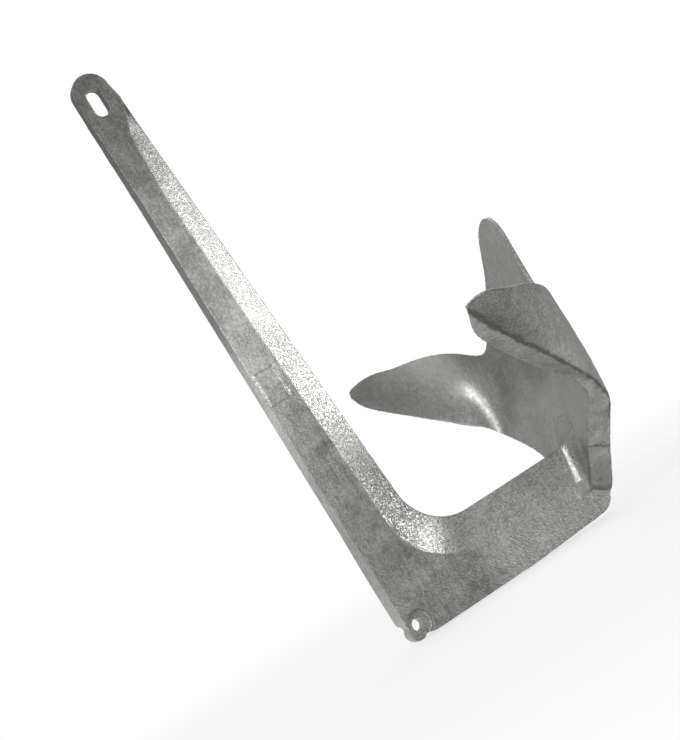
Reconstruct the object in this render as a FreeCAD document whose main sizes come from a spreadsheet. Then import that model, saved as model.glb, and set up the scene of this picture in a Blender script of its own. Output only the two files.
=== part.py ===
import FreeCAD, Part
import math
import os

import Sketcher
from FreeCAD import Placement, Rotation, Vector

# Three-fluke claw anchor, 10 kg class, welded from a forged shank and a cast scoop.
# Millimetres. The origin is the centre of the shackle slot. +Z runs up the shank to its eye end,
# +X points from the shank to the side the scoop is on, and XZ is the plane of symmetry.

SHEET = "dims"
CHORD_STEPS = 6
CHORD_WITH_FULL_CAMBER = 60.0
RIDGE_LAYERS = 5

DIMENSIONS = {
    # shank, seen from the side
    "eye_radius": 16.5,
    "eye_centre_z": 10.4,
    "back_x": -16.4,
    "heel_back_x": -14.5,
    "front_x_at_slot": 16.6,
    "neck_front_x": 19.7,
    "front_x_at_bend": 43.3,
    "bend_z": -402.0,
    "bend_radius": 45.0,
    "arm_bottom_z": -513.4,
    "arm_rise_x": 115.0,
    "arm_end_x": 205.0,
    "arm_end_bottom_z": -510.0,
    "arm_corner_radius": 19.0,
    "heel_radius": 24.0,
    # shank, across its thickness
    "eye_thickness": 11.0,
    "neck_thickness": 16.4,
    "waist_thickness": 19.4,
    "heel_thickness": 24.0,
    "edge_thickness": 5.6,
    "eye_low_z": -8.0,
    "neck_z": -91.0,
    "waist_z": -406.0,
    "heel_high_z": -451.0,
    # the wide bevel on the scoop side of the shank
    "bevel_start_z": -4.0,
    "bevel_shoulder_z": -36.0,
    "bevel_width": 33.0,
    # shackle slot
    "slot_width": 12.5,
    "slot_length": 25.0,
    # blank raised pad on the starboard side
    "pad_low_z": -289.0,
    "pad_high_z": -260.0,
    "pad_back_x": -12.0,
    "pad_front_x": 7.0,
    "pad_height": 1.2,
    # trip-line eye at the heel
    "trip_hole_x": -2.7,
    "trip_hole_z": -501.5,
    "trip_hole_diameter": 10.0,
    "trip_ear_radius": 8.2,
    "trip_ear_reach": 5.5,
    "trip_ear_lean": 33.0,
    "trip_ear_thickness": 14.0,
    "trip_recess_radius": 11.5,
    # scoop
    "half_span": 161.0,
    "horn_tip_x": 112.5,
    "centre_tip_x": 246.5,
    "centre_tip_z": -243.5,
    "crown_z": -487.5,
    "front_edge_thickness": 4.0,
    "camber": 4.0,
    # welds at the crown
    "root_weld_floor_x": 187.5,
    "root_weld_lean": 16.0,
    "root_weld_reach": 14.0,
    "root_weld_spread": 14.0,
    "root_weld_rise": 28.0,
    "root_weld_bite": 6.0,
    "seam_weld_thickness": 4.0,
}

# The scoop's offsets, one row for each station from the centre line out to the horn tip.
# Each point is across, deep and forward, in whole per cent: across in half spans, deep from the
# horn tips to the centre tip, forward from the crown to the centre tip.
STATIONS = [
    # inner rear rim    outer rear rim    front edge
    ((0, 56, 0), (0, 69, -4), (0, 100, 100)),
    ((8, 56, 0), (9, 69, -4), (9, 99, 98)),
    ((19, 59, 8), (19, 74, 5), (17, 96, 91)),
    ((29, 61, 16), (29, 77, 13), (22, 92, 83)),
    ((40, 62, 22), (42, 78, 20), (29, 87, 75)),
    ((52, 62, 27), (53, 76, 25), (40, 82, 66)),
    ((59, 60, 31), (62, 69, 30), (51, 78, 60)),
    ((63, 53, 37), (68, 63, 34), (62, 73, 62)),
    ((66, 40, 44), (75, 53, 39), (75, 65, 67)),
    ((72, 28, 50), (83, 39, 47), (86, 49, 71)),
    ((80, 13, 58), (91, 21, 57), (93, 32, 73)),
    ((90, 1, 66), (96, 9, 65), (97, 20, 75)),
    ((96, -1, 70), (99, 3, 70), (99, 8, 75)),
    ((99, -1, 72), (100, 0, 72), (100, 1, 74)),
]


def make_sheet(document):
    """Put every driving dimension in a spreadsheet cell with its name as the alias."""
    sheet = document.addObject("Spreadsheet::Sheet", SHEET)
    for row, (alias, value) in enumerate(DIMENSIONS.items(), start=1):
        sheet.set(f"A{row}", alias)
        sheet.set(f"B{row}", str(value))
        sheet.setAlias(f"B{row}", alias)
    document.recompute()
    return sheet


def cell(alias):
    """Name a cell of the sheet in an expression."""
    return f"{SHEET}.{alias}"


def origin_plane(body, role):
    """Return the body's own origin plane that has this role."""
    for feature in body.Origin.OriginFeatures:
        if feature.Role == role:
            return feature
    raise RuntimeError(f"{body.Name} has no {role}")


def plane_sketch(body, name, role="XZ_Plane", offset="0"):
    """Start a sketch on one of the body's origin planes, offset along the plane's normal."""
    sketch = body.newObject("Sketcher::SketchObject", name)
    sketch.AttachmentSupport = (origin_plane(body, role), "")
    sketch.MapMode = "FlatFace"
    sketch.setExpression("AttachmentOffset.Base.z", offset)
    return sketch


def arc_between(start, end, radius):
    """Return a circular arc; a positive radius keeps its centre on the left of start to end."""
    middle = (start + end) / 2
    half = (end - start).Length / 2
    leftward = Vector(-(end - start).y, (end - start).x, 0).normalize()
    side = math.copysign(1, radius)
    centre = middle + leftward * side * math.sqrt(max(radius * radius - half * half, 0))
    first, last = (start, end) if radius > 0 else (end, start)
    angles = [math.atan2(point.y - centre.y, point.x - centre.x) for point in (first, last)]
    circle = Part.Circle(centre, Vector(0, 0, 1), abs(radius))
    return Part.ArcOfCircle(circle, angles[0], angles[1])


def bind(sketch, constraint, expression):
    """Add a dimension to the sketch and bind it to the spreadsheet."""
    index = sketch.addConstraint(constraint)
    sketch.setExpression(f"Constraints[{index}]", expression)


def draw_outline(sketch, corners):
    """Draw a closed outline, counter-clockwise, from corners of (x, z, radius of the next arc).

    Every entry is an expression. The radius is None before a straight side, and negative before a
    hollow arc.
    """
    points = [Vector(sketch.evalExpression(x), sketch.evalExpression(z), 0) for x, z, _ in corners]
    ends = []
    for index, (start, corner) in enumerate(zip(points, corners)):
        end = points[(index + 1) % len(points)]
        if corner[2] is None:
            side = sketch.addGeometry(Part.LineSegment(start, end))
            ends.append((side, 1, 2))
            continue
        radius = sketch.evalExpression(corner[2])
        side = sketch.addGeometry(arc_between(start, end, radius))
        ends.append((side, 1, 2) if radius > 0 else (side, 2, 1))
        size = corner[2] if radius > 0 else f"-1 * ({corner[2]})"
        bind(sketch, Sketcher.Constraint("Radius", side, abs(radius)), size)
    for index, (side, first, last) in enumerate(ends):
        following, following_first, _ = ends[(index + 1) % len(ends)]
        sketch.addConstraint(Sketcher.Constraint("Coincident", side, last, following, following_first))
    for point, corner, (side, first, _) in zip(points, corners, ends):
        bind(sketch, Sketcher.Constraint("DistanceX", side, first, point.x), corner[0])
        bind(sketch, Sketcher.Constraint("DistanceY", side, first, point.y), corner[1])


def draw_circle(sketch, x, z, radius):
    """Draw a circle from the expressions of its centre and radius."""
    centre = Vector(sketch.evalExpression(x), sketch.evalExpression(z), 0)
    size = sketch.evalExpression(radius)
    circle = sketch.addGeometry(Part.Circle(centre, Vector(0, 0, 1), size))
    bind(sketch, Sketcher.Constraint("Radius", circle, size), radius)
    bind(sketch, Sketcher.Constraint("DistanceX", circle, 3, centre.x), x)
    bind(sketch, Sketcher.Constraint("DistanceY", circle, 3, centre.y), z)


def shank_lean():
    """Return the angle of the shank's scoop-side edge from the vertical."""
    return f"atan(({cell('front_x_at_bend')} - {cell('neck_front_x')}) / (-1 * {cell('bend_z')}))"


def shank_outline(on_shoulder):
    """List the corners of the shank's side view.

    The edge outline is the whole silhouette. The shoulder outline stops where the wide bevel starts,
    and has the same corners in the same order, so that the two can be joined by ruled faces.
    """
    lean = shank_lean()
    centre_x = f"({cell('front_x_at_bend')} + {cell('bend_radius')} * cos({lean}))"
    centre_z = f"({cell('bend_z')} + {cell('bend_radius')} * sin({lean}))"
    eye_x = f"({cell('back_x')} + {cell('eye_radius')})"
    eye_top = f"{cell('eye_centre_z')} + {cell('eye_radius')}"

    def front_x(z):
        """Return the front edge's X at this Z, on the straight part of the shank."""
        return f"{cell('neck_front_x')} - {z} * tan({lean})"

    width = cell("bevel_width") if on_shoulder else "0"
    hollow = f"-1 * ({cell('bend_radius')} + {width})"
    radius = f"({cell('bend_radius')} + {width})"
    shoulder_x = f"{front_x(cell('bevel_shoulder_z'))} - {width} / cos({lean})"
    heel_x = f"{cell('heel_back_x')} + {cell('heel_radius')}"
    heel_z = f"{cell('arm_bottom_z')} + {cell('heel_radius')}"
    toe_x = f"{cell('arm_end_x')} - {cell('arm_corner_radius')}"
    toe_z = f"{cell('arm_end_bottom_z')} + {cell('arm_corner_radius')}"
    return [
        (f"{cell('front_x_at_slot')}", cell("eye_centre_z"), cell("eye_radius")),
        (eye_x, eye_top, cell("eye_radius")),
        (cell("back_x"), cell("eye_centre_z"), None),
        (cell("back_x"), cell("eye_low_z"), None),
        (cell("heel_back_x"), cell("neck_z"), None),
        (cell("heel_back_x"), heel_z, cell("heel_radius")),
        (heel_x, cell("arm_bottom_z"), None),
        (cell("arm_rise_x"), cell("arm_bottom_z"), None),
        (toe_x, cell("arm_end_bottom_z"), cell("arm_corner_radius")),
        (cell("arm_end_x"), toe_z, None),
        (cell("arm_end_x"), f"{centre_z} - {radius}", None),
        (centre_x, f"{centre_z} - {radius}", hollow),
        (f"{centre_x} - {radius} * cos({lean})", f"{centre_z} - {radius} * sin({lean})", None),
        (shoulder_x, cell("bevel_shoulder_z"), None),
        (front_x(cell("bevel_start_z")), cell("bevel_start_z"), None),
    ]


def slot_outline(width, length):
    """List the corners of an upright slot centred on the origin."""
    radius = f"{width} / 2"
    top = f"({length} - {width}) / 2"
    return [
        (radius, f"-1 * {top}", None),
        (radius, top, radius),
        ("0", f"{top} + {radius}", radius),
        (f"-1 * {radius}", top, None),
        (f"-1 * {radius}", f"-1 * {top}", radius),
        ("0", f"-1 * {top} - {radius}", radius),
    ]


def trip_ear_outline():
    """List the corners of the round-ended ear that leans out of the heel."""
    radius = cell("trip_ear_radius")
    out_x = f"sin({cell('trip_ear_lean')})"
    out_z = f"cos({cell('trip_ear_lean')})"

    def corner(reach, aside, arc):
        """Return the corner this far out of the hole's centre and this far to the ear's right."""
        x = f"{cell('trip_hole_x')} - ({reach}) * {out_x} + ({aside}) * {out_z}"
        z = f"{cell('trip_hole_z')} - ({reach}) * {out_z} - ({aside}) * {out_x}"
        return (x, z, arc)

    reach = cell("trip_ear_reach")
    return [
        corner("0", f"-1 * {radius}", None),
        corner(reach, f"-1 * {radius}", radius),
        corner(f"{reach} + {radius}", "0", radius),
        corner(reach, radius, None),
        corner("0", radius, None),
    ]


def thickness_relief(side):
    """List the corners of the metal trimmed off one side of the shank, in the YZ plane.

    Its inner line follows half the thickness: thin at the eye, growing down the neck and the shank,
    and full at the heel and the arm. The side is 1 for port and -1 for starboard.
    """
    sign = "" if side > 0 else "-1 * "
    outside = f"{sign}{cell('heel_thickness')}"
    half_eye = f"{sign}{cell('eye_thickness')} / 2"
    top = f"{cell('eye_centre_z')} + 2 * {cell('eye_radius')}"
    corners = [
        (f"{sign}{cell('heel_thickness')} / 2", cell("heel_high_z"), None),
        (outside, cell("heel_high_z"), None),
        (outside, top, None),
        (half_eye, top, None),
        (half_eye, cell("eye_low_z"), None),
        (f"{sign}{cell('neck_thickness')} / 2", cell("neck_z"), None),
        (f"{sign}{cell('waist_thickness')} / 2", cell("waist_z"), None),
    ]
    return corners if side > 0 else list(reversed(corners))


def make_shank(document):
    """Loft the shank across its thickness, trim its sides, cut the slot and raise the blank pad."""
    body = document.addObject("PartDesign::Body", "shank_body")
    half_edge = f"{cell('edge_thickness')} / 2"
    half_heel = f"{cell('heel_thickness')} / 2"
    layers = [
        ("starboard_shoulder", half_heel, True),
        ("starboard_edge", half_edge, False),
        ("port_edge", f"-1 * {half_edge}", False),
        ("port_shoulder", f"-1 * {half_heel}", True),
    ]
    sketches = []
    for name, offset, on_shoulder in layers:
        sketch = plane_sketch(body, name, offset=offset)
        draw_outline(sketch, shank_outline(on_shoulder))
        sketches.append(sketch)
    document.recompute()
    loft = body.newObject("PartDesign::AdditiveLoft", "shank_loft")
    loft.Profile = sketches[0]
    loft.Sections = sketches[1:]
    loft.Ruled = True
    document.recompute()

    for name, side in (("port_relief", 1), ("starboard_relief", -1)):
        relief = plane_sketch(body, name, "YZ_Plane")
        draw_outline(relief, thickness_relief(side))
        cut_through(document, body, relief)

    slot = plane_sketch(body, "shackle_slot")
    draw_outline(slot, slot_outline(cell("slot_width"), cell("slot_length")))
    cut_through(document, body, slot)

    pad_sketch = plane_sketch(body, "pad_outline", offset=half_edge)
    pad_corners = [
        (cell("pad_back_x"), cell("pad_low_z"), None),
        (cell("pad_front_x"), cell("pad_low_z"), None),
        (cell("pad_front_x"), cell("pad_high_z"), None),
        (cell("pad_back_x"), cell("pad_high_z"), None),
    ]
    draw_outline(pad_sketch, pad_corners)
    pad = body.newObject("PartDesign::Pad", "blank_pad")
    pad.Profile = pad_sketch
    swell = f"({cell('waist_thickness')} - {cell('neck_thickness')}) / 2"
    share = f"({cell('neck_z')} - {cell('pad_low_z')}) / ({cell('neck_z')} - {cell('waist_z')})"
    side_y = f"{cell('neck_thickness')} / 2 + {swell} * {share}"
    pad.setExpression("Length", f"{side_y} - {half_edge} + {cell('pad_height')}")
    document.recompute()

    half_ear = f"{cell('trip_ear_thickness')} / 2"
    for name, offset, reversed_cut in (
        ("starboard_recess", half_ear, True),
        ("port_recess", f"-1 * {half_ear}", False),
    ):
        recess = plane_sketch(body, name, offset=offset)
        draw_circle(recess, cell("trip_hole_x"), cell("trip_hole_z"), cell("trip_recess_radius"))
        cut_through(document, body, recess, both_ways=False, reversed_cut=reversed_cut)

    ear_sketch = plane_sketch(body, "trip_ear_outline")
    draw_outline(ear_sketch, trip_ear_outline())
    ear = body.newObject("PartDesign::Pad", "trip_ear")
    ear.Profile = ear_sketch
    ear.Midplane = True
    ear.setExpression("Length", cell("trip_ear_thickness"))
    document.recompute()
    hole = plane_sketch(body, "trip_hole")
    draw_circle(hole, cell("trip_hole_x"), cell("trip_hole_z"), f"{cell('trip_hole_diameter')} / 2")
    cut_through(document, body, hole)
    return body


def cut_through(document, body, sketch, both_ways=True, reversed_cut=False):
    """Cut the sketch's outline through the body, both ways or away from one side of the sketch."""
    pocket = body.newObject("PartDesign::Pocket", f"{sketch.Name}_pocket")
    pocket.Profile = sketch
    pocket.Type = "ThroughAll"
    pocket.Midplane = both_ways
    pocket.Reversed = reversed_cut
    document.recompute()


def station_point(sheet, offsets, side):
    """Turn one offset of a scoop station into a point; side is +1 for port, -1 for starboard."""
    across, deep, forward = (percent / 100 for percent in offsets)
    depth = sheet.centre_tip_x - sheet.horn_tip_x
    length = sheet.centre_tip_z - sheet.crown_z
    return Vector(
        sheet.horn_tip_x + deep * depth,
        side * across * sheet.half_span,
        sheet.crown_z + forward * length,
    )


def scoop_rail(sheet, column):
    """Return one rail of the scoop, from the starboard horn tip over the centre to port."""
    port = [station_point(sheet, row[column], 1) for row in STATIONS]
    starboard = [station_point(sheet, row[column], -1) for row in STATIONS[1:]]
    return list(reversed(starboard)) + port


def bowed(start, end, fraction, bow):
    """Return the point this far along from start to end, pushed out by a parabola of height bow."""
    return start + (end - start) * fraction + bow * (4 * fraction * (1 - fraction))


def scoop_surfaces(sheet):
    """Return the grids of points of the scoop's inner and outer surfaces."""
    rear_inner = scoop_rail(sheet, 0)
    rear_outer = scoop_rail(sheet, 1)
    front = scoop_rail(sheet, 2)
    inner_grid = []
    outer_grid = []
    for index, (inner, outer, edge) in enumerate(zip(rear_inner, rear_outer, front)):
        before = max(index - 1, 0)
        after = min(index + 1, len(front) - 1)
        along = (rear_inner[after] - rear_inner[before]) + (front[after] - front[before])
        outward = (edge - inner).cross(along).normalize()
        if outward.dot(outer - inner) < 0:
            outward = outward * -1
        lip = edge - outward * sheet.front_edge_thickness
        reach = min((edge - inner).Length / CHORD_WITH_FULL_CAMBER, 1)
        bow = outward * sheet.camber * reach
        inner_grid.append([bowed(inner, lip, step / CHORD_STEPS, bow) for step in range(CHORD_STEPS + 1)])
        outer_grid.append([bowed(outer, edge, step / CHORD_STEPS, bow) for step in range(CHORD_STEPS + 1)])
    return inner_grid, outer_grid


def spline_face(grid):
    """Return the smooth face through a grid of points."""
    surface = Part.BSplineSurface()
    surface.interpolate(grid)
    return surface.toShape()


def boundary(face, ends):
    """Return the face's edge that runs between these two points."""
    def distance(edge):
        """Measure how far the edge's ends are from the two points."""
        tips = (edge.Vertexes[0].Point, edge.Vertexes[-1].Point)
        straight = tips[0].distanceToPoint(ends[0]) + tips[1].distanceToPoint(ends[1])
        crossed = tips[0].distanceToPoint(ends[1]) + tips[1].distanceToPoint(ends[0])
        return min(straight, crossed)

    return min(face.Edges, key=distance)


def make_scoop_shape(sheet):
    """Build the scoop: two spline faces joined by ruled faces along their four boundaries."""
    inner_grid, outer_grid = scoop_surfaces(sheet)
    inner = spline_face(inner_grid)
    outer = spline_face(outer_grid)
    faces = [inner, outer]
    corners = [(0, 0), (-1, 0), (-1, -1), (0, -1)]
    for start, end in zip(corners, corners[1:] + corners[:1]):
        inner_edge = boundary(inner, [inner_grid[start[0]][start[1]], inner_grid[end[0]][end[1]]])
        outer_edge = boundary(outer, [outer_grid[start[0]][start[1]], outer_grid[end[0]][end[1]]])
        faces.append(Part.makeRuledSurface(inner_edge, outer_edge))
    shell = Part.makeShell(faces)
    shell.sewShape()
    solid = Part.makeSolid(shell)
    if solid.Volume < 0:
        solid.reverse()
    return solid


def crown_ridge_outline(share):
    """List the corners of the weld's outline round the arm root, seen along the arm.

    The heights are above the crown. The share runs from 0, where the outline is the arm's own
    section, to 1 on the scoop's floor.
    """
    bend_drop = f"{cell('bend_radius')} * (1 - sin({shank_lean()}))"
    arm_top = f"({cell('bend_z')} - {bend_drop} - {cell('crown_z')})"
    spread = f"{share} * {cell('root_weld_spread')}"
    foot = f"{cell('heel_thickness')} / 2"
    wide = f"({foot} + {spread})"
    narrow = f"({cell('edge_thickness')} / 2 + {spread})"
    shoulder = f"{arm_top} - {cell('bevel_width')} + {spread}"
    top = f"{arm_top} + {share} * {cell('root_weld_rise')}"
    bottom = f"-1 * {cell('seam_weld_thickness')}"
    return [
        (foot, bottom, None),
        (wide, shoulder, None),
        (narrow, top, None),
        (f"-1 * {narrow}", top, None),
        (f"-1 * {wide}", shoulder, None),
        (f"-1 * {foot}", bottom, None),
    ]


def make_crown_ridge(document):
    """Loft the weld metal round the arm root, hollow from the arm to the scoop's floor."""
    body = document.addObject("PartDesign::Body", "crown_ridge")
    layers = []
    for layer in range(RIDGE_LAYERS + 1):
        step = layer / RIDGE_LAYERS
        hollow_share = 1 - math.sqrt(1 - step * step)
        layers.append((f"({step} - 1) * {cell('root_weld_reach')}", hollow_share))
    layers.append((cell("root_weld_bite"), 1))
    sketches = []
    for index, (inset, share) in enumerate(layers):
        floor_x = f"{cell('root_weld_floor_x')} + {inset}"
        sketch = plane_sketch(body, f"crown_ridge_{index}", "YZ_Plane", floor_x)
        lean = Rotation(Vector(1, 0, 0), sketch.evalExpression(cell("root_weld_lean")))
        sketch.AttachmentOffset = Placement(sketch.AttachmentOffset.Base, lean)
        sketch.setExpression("AttachmentOffset.Base.y", cell("crown_z"))
        draw_outline(sketch, crown_ridge_outline(share))
        sketches.append(sketch)
    document.recompute()
    loft = body.newObject("PartDesign::AdditiveLoft", "crown_ridge_loft")
    loft.Profile = sketches[0]
    loft.Sections = sketches[1:]
    loft.Ruled = True
    document.recompute()
    return body


def side_box(document, name, side, low_z):
    """Add a box that holds everything on one side of the plane of symmetry, above this height."""
    block = document.addObject("Part::Box", name)
    reach = cell("half_span")
    values = {
        "Placement.Base.x": "0",
        "Placement.Base.y": "0" if side > 0 else f"-1 * {reach}",
        "Placement.Base.z": low_z,
        "Length": f"2 * {reach}",
        "Width": reach,
        "Height": f"-1 * ({low_z})",
    }
    for setting, value in values.items():
        block.setExpression(setting, value)
    return block


def boolean(document, kind, name, shapes):
    """Add a common of several objects, or a cut of the second object from the first."""
    result = document.addObject(f"Part::{kind}", name)
    if kind == "Cut":
        result.Base, result.Tool = shapes
    else:
        result.Shapes = shapes
    return result


def make_claw(document, sheet):
    """Put the scoop in the document, and its copy lowered by the thickness of the seam weld."""
    shape = make_scoop_shape(sheet)
    claw = document.addObject("Part::Feature", "claw")
    claw.Shape = shape
    claw.Placement = Placement()
    lowered = document.addObject("Part::Feature", "lowered_claw")
    lowered.Shape = shape
    lowered.setExpression("Placement.Base.z", f"-1 * {cell('seam_weld_thickness')}")
    return claw, lowered


def assemble(document):
    """Build the whole anchor and return its pieces by node name."""
    sheet = make_sheet(document)
    claw, lowered = make_claw(document, sheet)
    shank_body = make_shank(document)
    ridge = make_crown_ridge(document)
    trimmed = boolean(document, "Cut", "trimmed_arm", (shank_body, claw))
    shank = boolean(document, "Cut", "shank", (trimmed, lowered))
    ridge_on_floor = boolean(document, "Cut", "ridge_on_floor", (ridge, claw))
    ridge_metal = boolean(document, "Cut", "ridge_metal", (ridge_on_floor, shank_body))
    pieces = {"shank": shank, "claw": claw}
    for name, side in (("port", 1), ("starboard", -1)):
        upper = side_box(document, f"upper_{name}", side, cell("crown_z"))
        whole = side_box(document, f"whole_{name}", side, cell("arm_bottom_z"))
        crown_shapes = [ridge_metal, upper]
        seam_shapes = [trimmed, lowered, whole]
        pieces[f"crown_weld_{name}"] = boolean(document, "MultiCommon", f"crown_weld_{name}", crown_shapes)
        pieces[f"seam_weld_{name}"] = boolean(document, "MultiCommon", f"seam_weld_{name}", seam_shapes)
    document.recompute()
    return pieces


def check_objects(document):
    """Stop when any object failed to build or has an empty or broken shape."""
    for item in document.Objects:
        if "Invalid" in item.State or "Error" in item.State:
            raise RuntimeError(f"{item.Name} did not build")
        if item.isDerivedFrom("Part::Feature") and (item.Shape.isNull() or not item.Shape.isValid()):
            raise RuntimeError(f"{item.Name} has no valid shape")


def export(pieces):
    """Write one STEP file for each piece."""
    os.makedirs("parts", exist_ok=True)
    for name, piece in pieces.items():
        if len(piece.Shape.Solids) != 1:
            raise RuntimeError(f"{name} is {len(piece.Shape.Solids)} solids")
        piece.Label = name
        piece.Shape.exportStep(f"parts/{name}.step")


document = FreeCAD.newDocument("claw_anchor")
pieces = assemble(document)
check_objects(document)
export(pieces)
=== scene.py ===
import math

import bmesh
import bpy
import numpy as np
from mathutils import Matrix, Vector, kdtree, noise
from mathutils.bvhtree import BVHTree


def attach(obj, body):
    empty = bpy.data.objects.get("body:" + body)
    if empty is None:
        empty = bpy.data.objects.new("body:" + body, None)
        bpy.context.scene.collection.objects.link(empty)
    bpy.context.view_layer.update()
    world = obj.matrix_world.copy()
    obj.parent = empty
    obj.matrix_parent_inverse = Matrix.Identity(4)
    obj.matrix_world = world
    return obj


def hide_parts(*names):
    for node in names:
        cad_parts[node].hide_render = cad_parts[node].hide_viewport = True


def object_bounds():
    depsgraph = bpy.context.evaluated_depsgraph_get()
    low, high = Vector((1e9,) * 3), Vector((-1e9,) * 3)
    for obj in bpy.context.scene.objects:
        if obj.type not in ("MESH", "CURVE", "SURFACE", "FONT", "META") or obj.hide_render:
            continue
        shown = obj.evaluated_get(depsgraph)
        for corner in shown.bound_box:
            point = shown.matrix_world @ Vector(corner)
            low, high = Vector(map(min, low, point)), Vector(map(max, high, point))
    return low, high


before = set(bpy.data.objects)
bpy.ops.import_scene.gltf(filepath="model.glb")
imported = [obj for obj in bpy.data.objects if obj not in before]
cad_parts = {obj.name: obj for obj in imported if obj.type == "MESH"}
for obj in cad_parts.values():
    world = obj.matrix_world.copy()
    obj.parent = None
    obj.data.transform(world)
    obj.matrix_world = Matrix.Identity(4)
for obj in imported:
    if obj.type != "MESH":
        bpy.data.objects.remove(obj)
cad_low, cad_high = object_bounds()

# Looks of a hot-dip galvanised claw anchor. Metres; +Z runs up the shank, +X towards the scoop.

MM = 0.001
# how far a skin lies inside the CAD surface, before its lumps and pits
SKIN = 0.25 * MM
FINE_VOXEL = 0.7 * MM
FLOOR_Z = cad_low.z - 0.5 * MM
# scoop edges sharper than this count as the corner of its rear rim
SHARP_ANGLE = math.radians(35)
# how much a normal's sideways part counts, next to 1 for its forward part, in telling the outside
SIDE_LEAN = 0.9
# the crack in the rear rim: its height, where along X it has that height, and its slope
CRACK_Z = -455 * MM
CRACK_X = 194 * MM
CRACK_SLOPE = 0.43
# painted light and shade on the shank: how bright its zinc is painted at these heights in
# millimetres, from the heel to the eye
SHANK_PAINTED_LIGHT_Z = (-500, -430, -330, -220, -120, -30, 20)
SHANK_PAINTED_LIGHT = (0.68, 0.6, 0.83, 1.22, 0.95, 0.56, 0.5)
# where the bend's bevel gets a painted highlight and more gloss, X and Z, and how wide; then the
# painted bright stretch above it
BEND_SHINE = (50 * MM, -450 * MM)
BEND_SHINE_WIDTH = 28 * MM
GLARE_Z = -325 * MM
GLARE_WIDTH = 50 * MM
CROWN_WELDS = ("crown_weld_port", "crown_weld_starboard")
SEAM_WELDS = ("seam_weld_port", "seam_weld_starboard")
# how far round a weld its skin reaches, and how thick the skin is
CROWN_REACH = 6 * MM
SEAM_REACH = 3 * MM
WELD_SHELL = 0.8 * MM
# how deep a weld skin's rim lies under the skins beside it
WELD_DIVE = 2.2 * MM
# rounds of smoothing after remeshing
SKIN_SMOOTHING = 3
JOINT_SMOOTHING = 24
# a gap in metres that is wider than any reach
FAR_AWAY = 1.0
# how deep the pits in the zinc look
PIT_DEPTH = 0.3 * MM
# the camera: degrees round, up and rolled; the point it looks at in millimetres; distance and lens
VIEW_ANGLES = (-20.4, -2.4, 31.85)
VIEW_TARGET = (58.52, 0, -291.41)
VIEW_DISTANCE = 1660 * MM
VIEW_LENS = 97.3
# each light: direction, distance, width and height in metres, and watts
KEY_LIGHT = ((0.73, -0.66, 0.08), 1.6, (0.45, 1.0), 7.5)
OTHER_LIGHTS = {
    "glint": ((-0.56, -0.66, 0.48), 1.8, (0.35, 0.35), 8),
    "hollow": ((-0.45, 0.88, 0.10), 1.8, (1.4, 1.1), 0.4),
    "top": ((0.2, 0.6, 0.75), 1.8, (1.2, 0.8), 10),
}
LIGHTS_AIM = (100, 0, -250)
# how bright the backdrop is for the metal; the camera sees it as 1
BACKDROP_LIT = 0.42


def smoothstep(low, high, value):
    """Ease from 0 at low to 1 at high."""
    share = np.clip((value - low) / (high - low), 0, 1)
    return share * share * (3 - 2 * share)


def fractal(points, size, depth, seed):
    """Return fractal noise from about -1 to 1 at each point, with bumps of this size in metres."""
    shift = Vector((seed * 3.7, seed * 5.1, seed * 2.3))
    return np.array([
        noise.fractal(Vector(point) / size + shift, 0.6, 2.0, depth) for point in points
    ])


def merged(nodes):
    """Return an editable mesh of these CAD nodes with their split corners merged."""
    solids = bmesh.new()
    for node in nodes:
        solids.from_mesh(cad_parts[node].data)
    bmesh.ops.remove_doubles(solids, verts=solids.verts, dist=0.002 * MM)
    return solids


def remeshed(nodes, voxel, smoothing):
    """Return one finely and evenly meshed copy of these CAD nodes."""
    mesh = bpy.data.meshes.new("coarse")
    solids = merged(nodes)
    solids.to_mesh(mesh)
    solids.free()
    rough = bpy.data.objects.new("rough", mesh)
    bpy.context.scene.collection.objects.link(rough)
    remesh = rough.modifiers.new("remesh", "REMESH")
    remesh.mode = "VOXEL"
    remesh.voxel_size = voxel
    smooth = rough.modifiers.new("smooth", "SMOOTH")
    smooth.factor = 0.5
    smooth.iterations = smoothing
    graph = bpy.context.evaluated_depsgraph_get()
    fine = bpy.data.meshes.new_from_object(rough.evaluated_get(graph))
    bpy.data.objects.remove(rough)
    fine.materials.clear()
    return fine


def vertex_arrays(mesh):
    """Return the mesh's vertex positions and normals."""
    points = np.empty(len(mesh.vertices) * 3)
    normals = np.empty(len(mesh.vertices) * 3)
    mesh.vertices.foreach_get("co", points)
    mesh.vertices.foreach_get("normal", normals)
    return points.reshape(-1, 3), normals.reshape(-1, 3)


def store(mesh, name, values):
    """Keep one number per vertex for the material to read."""
    layer = mesh.attributes.new(name, "FLOAT", "POINT")
    layer.data.foreach_set("value", np.asarray(values, np.float32))


def soften(mesh, points, weight, rounds):
    """Even out the mesh's points where the weight is above 0."""
    links = np.empty(len(mesh.edges) * 2, np.int64)
    mesh.edges.foreach_get("vertices", links)
    links = links.reshape(-1, 2)
    links = links[(weight[links] > 0).any(axis=1)]
    ends = np.concatenate([links[:, 0], links[:, 1]])
    others = np.concatenate([links[:, 1], links[:, 0]])
    count = np.maximum(np.bincount(ends, minlength=len(points)), 1)
    for _ in range(rounds):
        means = [np.bincount(ends, points[others, axis], len(points)) / count for axis in range(3)]
        points = points + (np.stack(means, axis=1) - points) * (0.6 * weight[:, None])
    mesh.vertices.foreach_set("co", points.ravel())
    mesh.update()


def sink(mesh, points, normals, depth):
    """Push each vertex in by this depth, measured from the CAD surface."""
    moved = points - normals * depth[:, None]
    mesh.vertices.foreach_set("co", moved.ravel())
    mesh.update()
    mesh.polygons.foreach_set("use_smooth", np.ones(len(mesh.polygons), bool))


def show(node, mesh, material):
    """Show this mesh in place of the CAD node."""
    piece = bpy.data.objects.new(f"{node}_skin", mesh)
    bpy.context.scene.collection.objects.link(piece)
    mesh.materials.append(material)
    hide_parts(node)
    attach(piece, "root")


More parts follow.
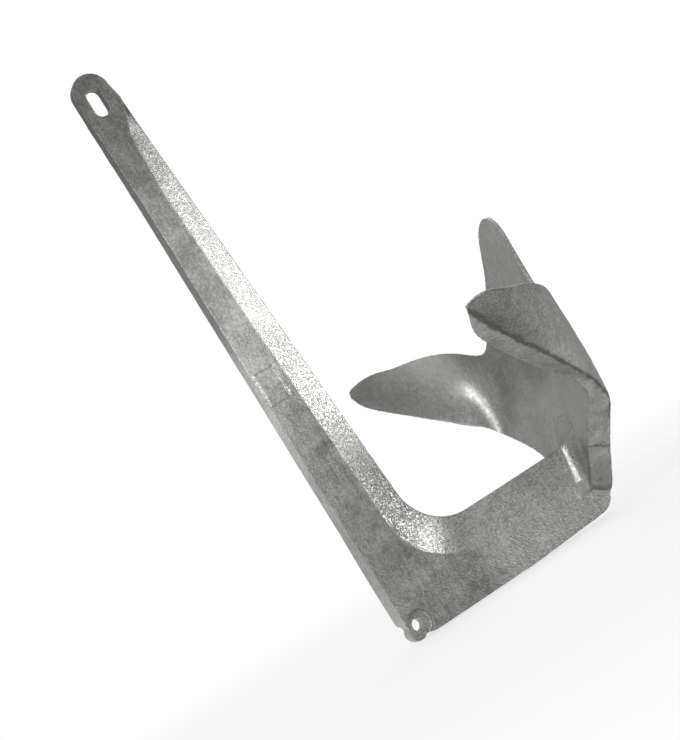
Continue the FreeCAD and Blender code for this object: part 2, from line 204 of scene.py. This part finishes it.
class Nodes:
    """Small helper that wires shader nodes."""

    def __init__(self, tree):
        self.tree = tree

    def add(self, kind, inputs=None, **settings):
        """Add a node, set its properties, and link or set its inputs."""
        node = self.tree.nodes.new(kind)
        for name, value in settings.items():
            setattr(node, name, value)
        for name, value in (inputs or {}).items():
            socket = node.inputs[name]
            if isinstance(value, bpy.types.NodeSocket):
                self.tree.links.new(value, socket)
            else:
                socket.default_value = value
        return node

    def noise(self, coords, size, detail=4.0, roughness=0.6):
        """Return noise from 0 to 1 with lumps of this size in metres."""
        values = {"Vector": coords, "Scale": 1 / size, "Detail": detail, "Roughness": roughness}
        return self.add("ShaderNodeTexNoise", values).outputs["Fac"]

    def ramp(self, value, low, high, out_low=0.0, out_high=1.0):
        """Map a value from one range to another, clamped."""
        values = {0: value, 1: low, 2: high, 3: out_low, 4: out_high}
        return self.add("ShaderNodeMapRange", values).outputs[0]

    def math(self, operation, first, second):
        """Combine two values."""
        return self.add("ShaderNodeMath", {0: first, 1: second}, operation=operation).outputs[0]

    def attribute(self, name):
        """Read a number stored on the vertices."""
        return self.add("ShaderNodeAttribute", attribute_name=name).outputs["Fac"]

    def mix(self, share, first, second):
        """Blend two colours."""
        node = self.add("ShaderNodeMix", data_type="RGBA")
        for name, value in (("Factor_Float", share), ("A_Color", first), ("B_Color", second)):
            socket = next(s for s in node.inputs if s.identifier == name)
            if isinstance(value, bpy.types.NodeSocket):
                self.tree.links.new(value, socket)
            else:
                socket.default_value = value
        return next(s for s in node.outputs if s.identifier == "Result_Color")


def grey(value):
    """Return a zinc grey, a touch warm."""
    return (value, value * 1.005, value * 0.955, 1)


def zinc(name, light, dark, roughness):
    """Make hot-dip zinc: mottled between two greys, pitted, grimy and painted with light and shade
    where the vertices say so.
    """
    material = bpy.data.materials.new(name)
    material.use_nodes = True
    tree = material.node_tree
    tree.nodes.clear()
    wire = Nodes(tree)
    coords = wire.add("ShaderNodeTexCoord").outputs["Object"]
    pits = wire.attribute("pits")
    grime_and_shade = wire.attribute("grime_and_shade")
    shade = wire.attribute("shade")
    polish = wire.attribute("polish")
    cloud = wire.noise(coords, 30 * MM, 5.0)
    speck = wire.noise(coords, 2.2 * MM, 3.0)
    stretch = wire.add("ShaderNodeVectorMath", {0: coords, 1: (1, 1, 0.12)}, operation="MULTIPLY")
    streak = wire.noise(stretch.outputs[0], 2.5 * MM, 3.0)
    spangle = wire.add("ShaderNodeTexVoronoi", {"Vector": coords, "Scale": 1 / (6 * MM)})
    tone = wire.ramp(cloud, 0.3, 0.7, 0.0, 0.7)
    tone = wire.math("ADD", tone, wire.ramp(speck, 0.35, 0.65, -0.35, 0.4))
    tone = wire.math("ADD", tone, wire.ramp(streak, 0.35, 0.65, -0.2, 0.2))
    base = wire.mix(tone, grey(dark), grey(light))
    # grime, and the painted shadow along the claw's rim crease, darken towards near black
    base = wire.mix(wire.ramp(grime_and_shade, 0.0, 1.0, 0.0, 0.75), base, grey(0.04))
    # painted light and shade: the base colour scaled by the vertices' shade
    base = wire.add("ShaderNodeVectorMath", {0: base, "Scale": shade}, operation="SCALE").outputs[0]
    mottle = wire.math("ADD", speck, cloud)
    dull = wire.ramp(mottle, 0.7, 1.3, roughness - 0.06, roughness + 0.12)
    dull = wire.math("SUBTRACT", dull, wire.math("MULTIPLY", polish, 0.15))
    hollow = wire.ramp(wire.noise(coords, 1.7 * MM, 2.0), 0.36, 0.56)
    grain = wire.noise(coords, 0.8 * MM, 3.0)
    height = wire.math("MULTIPLY", hollow, pits)
    height = wire.math("ADD", height, wire.math("MULTIPLY", grain, 0.15))
    bump = wire.add("ShaderNodeBump", {"Height": height, "Strength": 1.0, "Distance": PIT_DEPTH})
    patch = wire.ramp(spangle.outputs["Distance"], 0.0, 0.6, 0.0, 1.0)
    metal = wire.ramp(patch, 0.0, 1.0, 0.75, 0.9)
    values = {"Base Color": base, "Metallic": metal, "Roughness": dull, "Normal": bump.outputs[0]}
    shader = wire.add("ShaderNodeBsdfPrincipled", values)
    wire.add("ShaderNodeOutputMaterial", {"Surface": shader.outputs[0]})
    return material


def shank_skin(voxel):
    """Return the shank's mesh: pitted bevels, painted highlights on the back corners and a rougher
    lower half.

    Bevel, upright, lower, flat, bend, back and corner are shares from 0 to 1: where the surface is a
    bevel, a bevel leaning to +X, below the middle, and so on. Shade holds painted light and shade:
    bands up the shank and along the arm, highlights on the bevels, the bend and the back corners,
    and the back strip darker at the top and lighter at the bottom. Polish, the gloss, is also set to
    shape the highlights.
    """
    mesh = remeshed(["shank"], voxel, SKIN_SMOOTHING)
    points, normals = vertex_arrays(mesh)
    x, z = points[:, 0], points[:, 2]
    tilt = 1 - np.abs(normals[:, 1])
    bevel = smoothstep(0.012, 0.03, tilt) * (1 - smoothstep(0.1, 0.3, tilt))
    upright = bevel * smoothstep(0.08, 0.18, normals[:, 0])
    lower = smoothstep(-200 * MM, -300 * MM, z)
    flat = 1 - smoothstep(0.01, 0.03, tilt)
    from_shine = np.hypot(x - BEND_SHINE[0], z - BEND_SHINE[1])
    bend = upright * np.exp(-(from_shine / BEND_SHINE_WIDTH) ** 2)
    wander = fractal(points, 11 * MM, 4, 11)
    rough = np.clip(0.12 + 0.5 * lower + 0.25 * bevel - 0.5 * bend, 0, 1)
    lumps = fractal(points, 14 * MM, 3, 1) * 0.10
    pitting = fractal(points, 3.2 * MM, 2, 2) * 0.16 * rough
    sink(mesh, points, normals, SKIN + (lumps + pitting) * MM)
    store(mesh, "pits", rough)
    soot = lower * flat * smoothstep(-14 * MM, 6 * MM, x) * (1 - smoothstep(60 * MM, 110 * MM, x))
    front_line = smoothstep(0.35, 0.6, normals[:, 0]) * (1 - lower)
    grime_and_shade = soot * (0.16 + 0.3 * wander) + 0.6 * front_line + 0.1 * flat * np.maximum(wander, 0)
    store(mesh, "grime_and_shade", np.clip(grime_and_shade, 0, 1))
    back = smoothstep(0.8, 0.95, -normals[:, 0])
    corner = smoothstep(0.2, 0.45, -normals[:, 0]) * (1 - back) * smoothstep(-80 * MM, -180 * MM, z)
    # painted light and shade: brighter and darker bands up the shank
    tone = np.interp(z / MM, SHANK_PAINTED_LIGHT_Z, SHANK_PAINTED_LIGHT)
    # painted light and shade along the arm: lighter from 60 mm out, darker again beyond 120 mm
    arm = 0.2 * smoothstep(60 * MM, 110 * MM, x) - 0.22 * smoothstep(120 * MM, 160 * MM, x)
    tone *= 1 + arm
    # painted highlights on bevels leaning to +X, on the stretch above the bend and on the bend
    # itself; painted shade on those bevels in the upper half
    glare = np.exp(-((z - GLARE_Z) / GLARE_WIDTH) ** 2)
    tone *= 1 + 0.9 * upright * glare + 0.6 * bend - 0.1 * upright * (1 - lower)
    # painted shade at the top of the back strip, painted light at its bottom, and a painted
    # highlight along the back corners
    tone *= 1 + back * (0.9 * lower - 0.35 * (1 - lower)) + 0.9 * corner
    store(mesh, "shade", tone)
    polish = upright * (0.75 + 0.5 * wander + 0.3 * lower) + 0.4 * bend + corner
    store(mesh, "polish", np.clip(polish, 0, 1.3))
    return mesh


def outwardness(points, normals):
    """Return how far each normal faces away from the scoop's hollow."""
    return normals[:, 0] + SIDE_LEAN * np.sign(points[:, 1]) * normals[:, 1]


def rim_distance(points):
    """Return each point's distance to the corner between the rear band and the outer surface."""
    claw = merged(["claw"])
    samples = []
    for edge in claw.edges:
        if len(edge.link_faces) != 2 or edge.calc_face_angle() < SHARP_ANGLE:
            continue
        band, outer = sorted(edge.link_faces, key=lambda face: face.normal.z)
        middle = (edge.verts[0].co + edge.verts[1].co) / 2
        outward = outer.normal.x + SIDE_LEAN * math.copysign(1, middle.y) * outer.normal.y
        if band.normal.z > -0.3 or outward < 0.3 or outer.normal.z > 0.6:
            continue
        steps = max(int(edge.calc_length() / (0.5 * MM)), 1)
        for step in range(steps + 1):
            samples.append(edge.verts[0].co.lerp(edge.verts[1].co, step / steps))
    claw.free()
    tree = kdtree.KDTree(len(samples))
    for index, sample in enumerate(samples):
        tree.insert(sample, index)
    tree.balance()
    return np.array([tree.find(point)[2] for point in points])


def claw_skin(voxel):
    """Return the scoop's mesh: smooth inside, rough outside, with a shallow crease along the rear
    rim, painted dark as a shadow.
    """
    mesh = remeshed(["claw"], voxel, SKIN_SMOOTHING)
    points, normals = vertex_arrays(mesh)
    at_rim = smoothstep(-0.2, -0.5, normals[:, 2])
    at_tip = smoothstep(146 * MM, 158 * MM, np.abs(points[:, 1]))
    rounds = int(22 * (FINE_VOXEL / voxel) ** 2) + 1
    soften(mesh, points, np.maximum(0.35 * at_rim, 0.6 * at_tip), rounds)
    points, normals = vertex_arrays(mesh)
    across = np.abs(points[:, 1])
    outside = smoothstep(0.0, 0.35, outwardness(points, normals))
    band = smoothstep(-0.35, -0.6, normals[:, 2])
    rough = np.maximum(outside, band)
    wander = fractal(points, 9 * MM, 3, 7)
    # a shallow crease under the outer rim, painted dark as the shadow of the rim's overhang
    crease_shadow_width = (2.0 + 1.5 * wander) * MM
    crease_shadow = np.exp(-(rim_distance(points) / crease_shadow_width) ** 2)
    crease_shadow *= smoothstep(50 * MM, 75 * MM, across)
    crack_z = CRACK_Z - CRACK_SLOPE * (points[:, 0] - CRACK_X) + 2 * wander * MM
    crack = np.exp(-((points[:, 2] - crack_z) / (0.8 * MM)) ** 2) * band
    foot = smoothstep(-470 * MM, -481 * MM, points[:, 2]) * band
    tip = smoothstep(120 * MM, 158 * MM, across) * outside
    # surfaces facing up, such as the horns' front edges: a painted highlight, lighter and clear of
    # stain, and also glossier and less lumpy
    edge = smoothstep(0.3, 0.6, normals[:, 2])
    lumps = fractal(points, 15 * MM, 4, 3) * (0.08 + 0.16 * rough) * (1 - 0.6 * edge)
    wrinkles = fractal(points * (1, 1, 2.2), 7 * MM, 2, 9) * (0.3 * band + 0.12 * outside)
    depth = 0.1 + lumps + wrinkles + 0.5 * crease_shadow + 0.3 * crack
    sink(mesh, points, normals, SKIN + depth * MM)
    store(mesh, "pits", np.clip(0.05 + 0.5 * rough, 0, 1))
    stain = 0.12 * band * (1 + 1.5 * wander) + 0.08 * outside * (1 + wander)
    stain += 0.8 * tip + 0.2 * foot
    store(mesh, "grime_and_shade", np.clip(stain * (1 - 0.8 * edge) + 1.3 * crease_shadow + 0.7 * crack, 0, 1))
    # the inside near the upper front: less glossy, and painted darker as shade
    dull_shaded_front = (1 - rough) * smoothstep(-368 * MM, -345 * MM, points[:, 2])
    dull_shaded_front *= smoothstep(60 * MM, 80 * MM, across)
    # shade: the outside darker, the rear band a little lighter, a painted highlight on the outside's
    # upward edges, and painted shade on the upper front inside
    shade = 1.03 - 0.22 * outside * (1 - band) + 0.1 * band + 0.5 * edge * outside
    store(mesh, "shade", shade - 0.2 * dull_shaded_front)
    store(mesh, "polish", np.clip(0.5 * (1 - rough) - 1.2 * dull_shaded_front + 0.6 * edge, -0.8, 1))
    return mesh


def drop_small_islands(shell):
    """Delete every loose piece of the mesh except the largest one."""
    unseen = set(shell.verts)
    islands = []
    while unseen:
        island = [unseen.pop()]
        for vertex in island:
            for edge in vertex.link_edges:
                other = edge.other_vert(vertex)
                if other in unseen:
                    unseen.remove(other)
                    island.append(other)
        islands.append(island)
    islands.sort(key=len)
    spare = [vertex for island in islands[:-1] for vertex in island]
    bmesh.ops.delete(shell, geom=spare, context="VERTS")


def closed_shell(patch, thickness):
    """Return the open patch as a closed shell, with its inner side this far inside."""
    points, normals = vertex_arrays(patch)
    count = len(points)
    outer = [tuple(face.vertices) for face in patch.polygons]
    inner = [tuple(count + index for index in reversed(face)) for face in outer]
    sides = {pair for face in outer for pair in zip(face, face[1:] + face[:1])}
    rim = [
        (end, start, count + start, count + end)
        for start, end in sorted(sides) if (end, start) not in sides
    ]
    mesh = bpy.data.meshes.new("shell")
    corners = np.concatenate([points, points - normals * thickness])
    mesh.from_pydata(corners, [], outer + inner + rim)
    mesh.polygons.foreach_set("use_smooth", np.arange(len(mesh.polygons)) < len(outer))
    mesh.update()
    return mesh


def weld_skin(node, joint, reach):
    """Return the weld's part of the smoothed joint, sinking into the metal away from the weld.

    It is a thin closed shell, and its own half of the joint only: welds come in mirrored pairs.
    """
    patch = joint.copy()
    weld = merged([node])
    tree = BVHTree.FromBMesh(weld)
    weld.free()
    points, normals = vertex_arrays(patch)
    side = 1 if node.endswith("port") else -1
    near = np.full(len(points), FAR_AWAY)
    corners = np.array(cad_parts[node].bound_box)
    low = corners.min(axis=0) - reach
    high = corners.max(axis=0) + reach
    inside = np.all((points > low) & (points < high), axis=1) & (points[:, 1] * side > -MM)
    for index in np.flatnonzero(inside):
        near[index] = tree.find_nearest(points[index])[3]
    keep = np.flatnonzero(near < reach)
    ripple = np.zeros(len(points))
    ripple[keep] = fractal(points[keep], 4 * MM, 2, 5)
    depth = SKIN * 0.2 + 0.1 * MM * ripple + smoothstep(0.05 * reach, reach, near) * WELD_DIVE
    sink(patch, points, normals, depth)
    trimmed = bmesh.new()
    trimmed.from_mesh(patch)
    spare = [vertex for vertex, gap in zip(trimmed.verts, near) if gap >= reach]
    bmesh.ops.delete(trimmed, geom=spare, context="VERTS")
    drop_small_islands(trimmed)
    trimmed.to_mesh(patch)
    trimmed.free()
    mesh = closed_shell(patch, WELD_SHELL)
    count = len(mesh.vertices)
    store(mesh, "pits", np.full(count, 0.25))
    store(mesh, "grime_and_shade", np.zeros(count))
    store(mesh, "shade", np.ones(count))
    store(mesh, "polish", np.full(count, 0.5))
    return mesh


def area_light(name, direction, distance, size, power, aim):
    """Add a soft light of this width and height in this direction from the aim point."""
    lamp = bpy.data.lights.new(name, "AREA")
    lamp.shape = "RECTANGLE"
    lamp.size, lamp.size_y = size
    lamp.energy = power
    holder = bpy.data.objects.new(name, lamp)
    bpy.context.scene.collection.objects.link(holder)
    towards = Vector(direction).normalized()
    holder.location = aim + towards * distance
    holder.rotation_mode = "QUATERNION"
    holder.rotation_quaternion = towards.to_track_quat("Z", "Y")
    return holder


def make_world():
    """White behind the object, softer grey for what the zinc reflects."""
    world = bpy.data.worlds.new("studio")
    world.use_nodes = True
    tree = world.node_tree
    tree.nodes.clear()
    wire = Nodes(tree)
    seen = wire.add("ShaderNodeBackground", {"Color": (1, 1, 1, 1), "Strength": 1.0})
    lit = wire.add("ShaderNodeBackground", {"Color": (1, 1, 1, 1), "Strength": BACKDROP_LIT})
    camera_ray = wire.add("ShaderNodeLightPath").outputs["Is Camera Ray"]
    mixed = wire.add("ShaderNodeMixShader", {0: camera_ray, 1: lit.outputs[0], 2: seen.outputs[0]})
    wire.add("ShaderNodeOutputWorld", {"Surface": mixed.outputs[0]})
    bpy.context.scene.world = world


def make_floor():
    """Add the pale floor, fading to the white of the backdrop away from the object."""
    bpy.ops.mesh.primitive_circle_add(
        vertices=96, radius=6, fill_type="NGON", location=(0.1, 0, FLOOR_Z)
    )
    floor = bpy.context.object
    floor.name = "floor"
    material = bpy.data.materials.new("pale_floor")
    material.use_nodes = True
    tree = material.node_tree
    tree.nodes.clear()
    wire = Nodes(tree)
    coords = wire.add("ShaderNodeTexCoord").outputs["Object"]
    distance = wire.add("ShaderNodeVectorMath", {0: coords}, operation="LENGTH").outputs["Value"]
    fade = wire.ramp(distance, 0.35, 1.1, 0.72, 1.0)
    camera_ray = wire.add("ShaderNodeLightPath").outputs["Is Camera Ray"]
    share = wire.math("MULTIPLY", fade, camera_ray)
    matte = wire.add("ShaderNodeBsdfDiffuse", {"Color": (0.9, 0.9, 0.9, 1)})
    glow = wire.add("ShaderNodeEmission", {"Color": (1, 1, 1, 1), "Strength": 1.0})
    mixed = wire.add("ShaderNodeMixShader", {0: share, 1: matte.outputs[0], 2: glow.outputs[0]})
    wire.add("ShaderNodeOutputMaterial", {"Surface": mixed.outputs[0]})
    floor.data.materials.append(material)


def make_camera():
    """Look at the anchor from its starboard back quarter, with the shank leaning to the left."""
    azimuth, elevation, roll = (math.radians(angle) for angle in VIEW_ANGLES)
    target = Vector(VIEW_TARGET) * MM
    ahead = Vector((
        -math.sin(azimuth) * math.cos(elevation),
        math.cos(azimuth) * math.cos(elevation),
        -math.sin(elevation),
    ))
    side = ahead.cross(Vector((0, 0, 1))).normalized()
    rise = side.cross(ahead)
    right = side * math.cos(roll) - rise * math.sin(roll)
    up = side * math.sin(roll) + rise * math.cos(roll)
    camera = bpy.data.objects.new("camera", bpy.data.cameras.new("camera"))
    bpy.context.scene.collection.objects.link(camera)
    camera.data.sensor_width = 36
    camera.data.lens = VIEW_LENS
    basis = Matrix((right, up, -ahead)).transposed()
    camera.matrix_world = Matrix.Translation(target - ahead * VIEW_DISTANCE) @ basis.to_4x4()
    bpy.context.scene.camera = camera


def make_lights():
    """Add the key light, which casts no shadow, and the others, all aimed at the same point."""
    aim = Vector(LIGHTS_AIM) * MM
    key = area_light("key", *KEY_LIGHT, aim)
    # otherwise the near fluke would shade the lower bevel
    key.data.use_shadow = False
    for name, settings in OTHER_LIGHTS.items():
        area_light(name, *settings, aim)


def build():
    """Dress every CAD piece, then add the studio."""
    voxel = FINE_VOXEL
    show("shank", shank_skin(voxel), zinc("shank_zinc", 0.6, 0.38, 0.38))
    show("claw", claw_skin(voxel), zinc("claw_zinc", 0.52, 0.37, 0.42))
    weld_zinc = zinc("weld_zinc", 0.52, 0.36, 0.36)
    joint = remeshed(["shank", "claw", *CROWN_WELDS, *SEAM_WELDS], FINE_VOXEL, JOINT_SMOOTHING)
    for node in CROWN_WELDS:
        show(node, weld_skin(node, joint, CROWN_REACH), weld_zinc)
    for node in SEAM_WELDS:
        show(node, weld_skin(node, joint, SEAM_REACH), weld_zinc)
    make_lights()
    make_world()
    make_floor()
    make_camera()
    bpy.context.scene.view_settings.view_transform = "Standard"


build()
